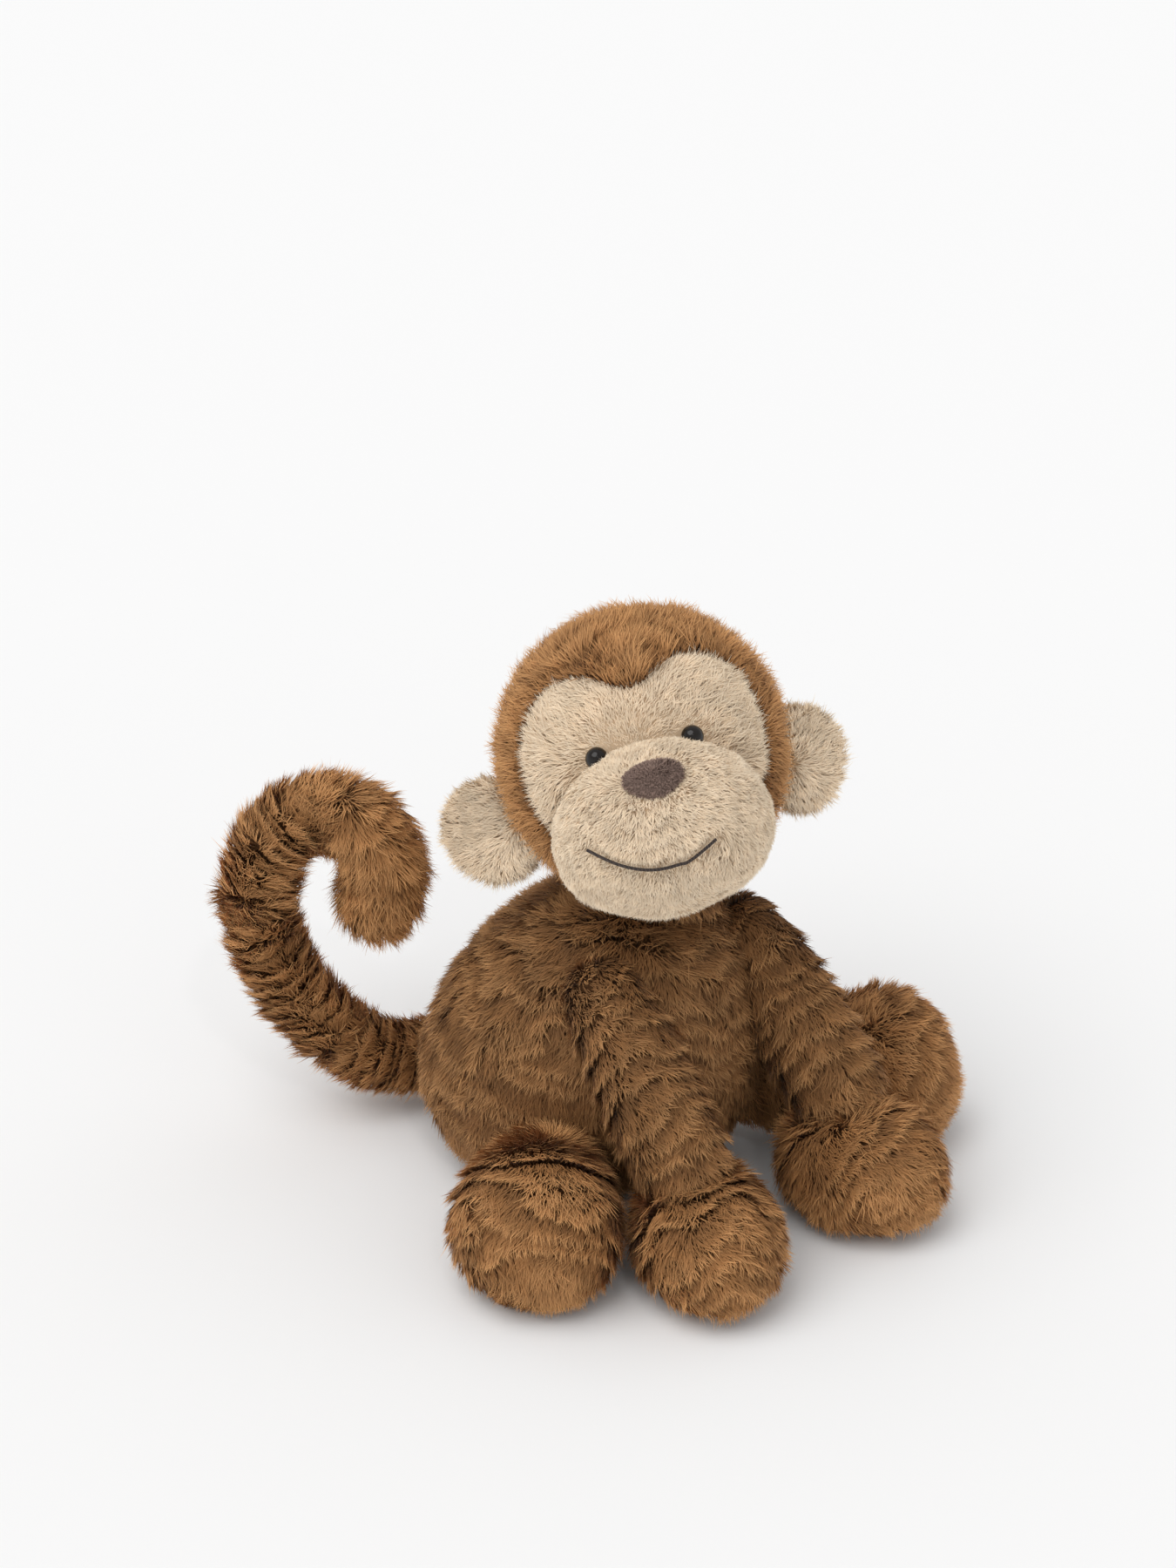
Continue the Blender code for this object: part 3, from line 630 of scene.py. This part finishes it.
def face_length(p):
    """Longest out on the brow, shorter at the eyes, at the muzzle's seam and at the head cover's seam."""
    short, long = FACE_PILE
    out = step(np.linalg.norm(p - BRIDGE, axis=1), 0.012, 0.028)
    at_eye = 0.35 + 0.65 * step(eye_gap(p), 0.004, 0.0085)
    at_muzzle = 0.45 + 0.55 * step(depth_in(TREES["muzzle_skin"], p), 0.0005, 0.0050)
    at_rim = 0.42 + 0.58 * step(gap_to(HEAD_CAD, p), 0.0, 0.0060)
    return (short + (long - short) * out) * at_eye * at_muzzle * at_rim


face = cream & (eye_gap(points) > EYE_CLEARING)
grow("face_pile", (points[face], normals[face]), away_from(BRIDGE - 0.004 * UP), CREAM_PILE, "head",
     face_length, lift=(60, 34), seed=31, row=0.006, row_pull=0.5, droop=0.0,
     cell=0.0034, width=0.00028, wander=0.25, step_down=0.2)


def muzzle_length(p):
    """Shorter at the mouth, along the parting up to the nose, at the nose and at the muzzle's seam."""
    mouth = step(from_line(p, MOUTH), 0.0012, 0.0050)
    mouth = np.minimum(mouth, 0.15 + 0.85 * step(from_line(p, SEAM), 0.0006, 0.0026))
    nose = step(np.linalg.norm(p - NOSE_AT, axis=1), 0.009, 0.014)
    seam = step(depth_in(TREES["head_skin"], p), 0.0010, 0.0070)
    return MUZZLE_PILE * (0.25 + 0.75 * mouth) * (0.55 + 0.45 * nose) * (0.5 + 0.5 * seam)


muzzle = planted("muzzle_skin", 560, ["head_skin", "nose_skin"], 41,
                 lambda p: from_line(p, MOUTH) > 0.0007)
grow("muzzle_pile", muzzle, away_from(NOSE_AT), CREAM_PILE, "head", muzzle_length,
     lift=(55, 30), seed=42, row=0.005, row_pull=0.35, cell=0.0026, tuft_pull=0.5, width=0.00026,
     droop=0.02, wander=0.25, step_down=0.15)
nose = planted("nose_skin", 700, ["muzzle_skin"], 51)
grow("nose_pile", nose, downward, NOSE_PILE, "head", NOSE_PILE_LENGTH, lift=(80, 60), seed=52,
     row=0.003, row_pull=0.3, cell=0.0014, width=0.00025, droop=0.0)


def ear_length(p):
    """Shorter at the ear's root."""
    return EAR_PILE * (0.45 + 0.55 * step(depth_in(TREES["head_skin"], p), 0.001, 0.006))


for side in ("left", "right"):
    ear = planted(f"{side}_ear_skin", 500, ["head_skin"], 61)
    grow(f"{side}_ear_pile", ear, away_from(joint_at(f"{side}_ear_fold")), CREAM_PILE, f"{side}_ear",
         ear_length, lift=(56, 34), seed=62, row=0.006, row_pull=0.4, cell=0.0034,
         width=0.00028, droop=0.03, wander=0.25, step_down=0.15)

# ---------------------------------------------------------------------------------------------------
# Pile of the body, limbs and tail
around_body = ["head_skin", "muzzle_skin", "left_arm_skin", "right_arm_skin", "left_leg_skin",
               "right_leg_skin", "tail_1_skin"]
body = planted("body_skin", 330, around_body, 71)
behind = body[0][:, 1] > np.median(body[0][:, 1])
for label, half in (("front", ~behind), ("back", behind)):
    grow(f"body_pile_{label}", (body[0][half], body[1][half]), downward, BROWN_PILE, "torso",
         BODY_PILE, seed=72)
neck = planted("neck_skin", 230, ["head_skin", "body_skin"], 73)
if len(neck[0]):
    grow("neck_pile", neck, downward, BROWN_PILE, "neck", NECK_PILE, seed=74)


def arm_length(shoulder, way):
    """Shorter at the shoulder's seam."""
    at_seam, lower = ARM_PILE
    return lambda p: at_seam + (lower - at_seam) * step((p - shoulder) @ way, -0.004, 0.016)


# A limb's pile leans down the limb, turned so that the whorl where its rows start is out of sight
for side, out in (("left", 1), ("right", -1)):
    shoulder, wrist = joint_at(f"{side}_shoulder_swing"), joint_at(f"{side}_wrist_bend")
    hip, hand_at = joint_at(f"{side}_hip_lift"), centre_of(f"{side}_hand_filling")
    foot_at = centre_of(f"{side}_leg_filling")
    down_arm = unit(unit(wrist - shoulder) - (0, 0.45, 0))
    arm = planted(f"{side}_arm_skin", 340, ["body_skin", f"{side}_hand_skin"], 81)
    grow(f"{side}_arm_pile", arm, toward(down_arm), BROWN_PILE, f"{side}_arm",
         arm_length(shoulder, down_arm), seed=82, tone=0.1)
    to_hand = unit(0.8 * unit(hand_at - wrist) + np.array((0.2 * out, -0.55, 0)))
    hand = planted(f"{side}_hand_skin", 360, [f"{side}_arm_skin"], 83)
    grow(f"{side}_hand_pile", hand, toward(to_hand), BROWN_PILE, f"{side}_hand", HAND_PILE,
         seed=84, tone=0.95, row_pull=0.72, step_down=0.42)
    to_foot = unit(unit(foot_at - hip) * 0.75 - UP * 0.62)
    leg = planted(f"{side}_leg_skin", 340, ["body_skin"], 85)
    grow(f"{side}_leg_pile", leg, toward(to_foot), BROWN_PILE, f"{side}_leg", LEG_PILE,
         seed=86, tone=0.95, row_pull=0.72, step_down=0.42)

PIVOTS = [joint_at(n) for n in ("tail_wag", "tail_curl", "tail_curl_middle", "tail_curl_tip")]
for i in range(1, 5):
    start = PIVOTS[i - 1]
    end = PIVOTS[i] if i < 4 else centre_of("tail_4_filling") * 2 - start - UP * 0.01
    near = [f"tail_{k}_skin" for k in (i - 1, i + 1) if 1 <= k <= 4] + (["body_skin"] if i == 1 else [])
    tail = planted(f"tail_{i}_skin", 420, near, 90 + i)
    grow(f"tail_{i}_pile", tail, toward(unit(end - start)), BROWN_PILE, f"tail_{i}",
         TAIL_PILE + TAIL_PILE_GROWTH * i, lift=(72, 52), seed=95 + i, row=0.0075, row_pull=0.45,
         step_down=0.3, cell=0.0055, tuft_pull=0.75, tone=1.1)

# ---------------------------------------------------------------------------------------------------
# Eyes, washers and mouth
EYE_LOOKS = eye_material()
WASHER_LOOKS = plastic_material()
for side in ("left", "right"):
    mesh = applied(NODES[f"{side}_eye"].data.copy(), ("WELD", dict(merge_threshold=1e-5)),
                   ("SUBSURF", dict(levels=2, render_levels=2)))
    bead = link_mesh(f"{side}_eye_bead", mesh, EYE_LOOKS, "head")
    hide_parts(f"{side}_eye")
    washer = NODES[f"{side}_eye_washer"]
    washer.data.materials.clear()
    washer.data.materials.append(WASHER_LOOKS)

outward = unit(MOUTH - MUZZLE_AT)
curve = bpy.data.curves.new("mouth_thread", "CURVE")
curve.dimensions = "3D"
curve.bevel_depth = THREAD_RADIUS
curve.bevel_resolution = 3
curve.use_fill_caps = True
spline = curve.splines.new("NURBS")
spline.points.add(len(MOUTH) - 1)
spline.use_endpoint_u = True
for knot, place in zip(spline.points, MOUTH + outward * THREAD_RISE):
    knot.co = (*place, 1)
guide = bpy.data.objects.new("mouth_guide", curve)
bpy.context.scene.collection.objects.link(guide)
thread = bpy.data.meshes.new_from_object(guide.evaluated_get(bpy.context.evaluated_depsgraph_get()))
bpy.data.objects.remove(guide)
smile = link_mesh("mouth_thread", thread, thread_material(), "head")
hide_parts("mouth_stitch")

# ---------------------------------------------------------------------------------------------------
# Floor, light and camera
FLOOR_HALF = 60
floor_mesh = bpy.data.meshes.new("floor")
floor_mesh.from_pydata([(x * FLOOR_HALF, y * FLOOR_HALF, 0) for x, y in ((-1, -1), (1, -1), (1, 1), (-1, 1))],
                       [], [(0, 1, 2, 3)])
floor = bpy.data.objects.new("floor", floor_mesh)
bpy.context.scene.collection.objects.link(floor)
floor_mat, _, floor_shader = material("floor_paper")
floor_shader.inputs["Base Color"].default_value = (0.90, 0.90, 0.90, 1)
floor_shader.inputs["Roughness"].default_value = 1.0
floor_shader.inputs["Specular IOR Level"].default_value = 0.0
floor_mesh.materials.append(floor_mat)

world = bpy.data.worlds.new("studio")
bpy.context.scene.world = world
world.use_nodes = True
sky = world.node_tree
height = sky.nodes.new("ShaderNodeSeparateXYZ")
bands = sky.nodes.new("ShaderNodeValToRGB")
sky.links.new(sky.nodes.new("ShaderNodeTexCoord").outputs["Generated"], height.inputs["Vector"])
sky.links.new(height.outputs["Z"], bands.inputs["Fac"])
sky.links.new(bands.outputs["Color"], sky.nodes["Background"].inputs["Color"])
bands.color_ramp.elements[0].position = 0.10
bands.color_ramp.elements[0].color = (0.93, 0.93, 0.93, 1)
bands.color_ramp.elements[1].position = 0.45
bands.color_ramp.elements[1].color = (0.63, 0.63, 0.63, 1)
sky.nodes["Background"].inputs["Strength"].default_value = 1.0


def sun(name, strength, spread, way):
    """A sun whose light comes from this way, with an apparent size in degrees."""
    light = bpy.data.lights.new(name, "SUN")
    light.energy = strength
    light.angle = math.radians(spread)
    lamp = bpy.data.objects.new(name, light)
    bpy.context.scene.collection.objects.link(lamp)
    lamp.rotation_euler = Vector(way).to_track_quat("Z", "Y").to_euler()


sun("key", 1.35, 50, (-0.75, 0.05, 1.5))
sun("glint", 0.12, 3, (-0.50, -1.0, 1.25))

# The camera stands at this distance from the place it aims at, in this direction from it
AZIMUTH, ELEVATION = math.radians(-40), math.radians(30)
LENS, DISTANCE, AIM = 100, 1.389, (0.003, 0, 0.1315)
outlook = Vector((math.sin(AZIMUTH) * math.cos(ELEVATION), -math.cos(AZIMUTH) * math.cos(ELEVATION),
                  math.sin(ELEVATION)))
camera_data = bpy.data.cameras.new("camera")
camera_data.lens = LENS
camera_data.sensor_width = 36
camera = bpy.data.objects.new("camera", camera_data)
bpy.context.scene.collection.objects.link(camera)
camera.location = Vector(AIM) + outlook * DISTANCE
camera.rotation_euler = outlook.to_track_quat("Z", "Y").to_euler()
bpy.context.scene.camera = camera
bpy.context.scene.view_settings.view_transform = "Standard"
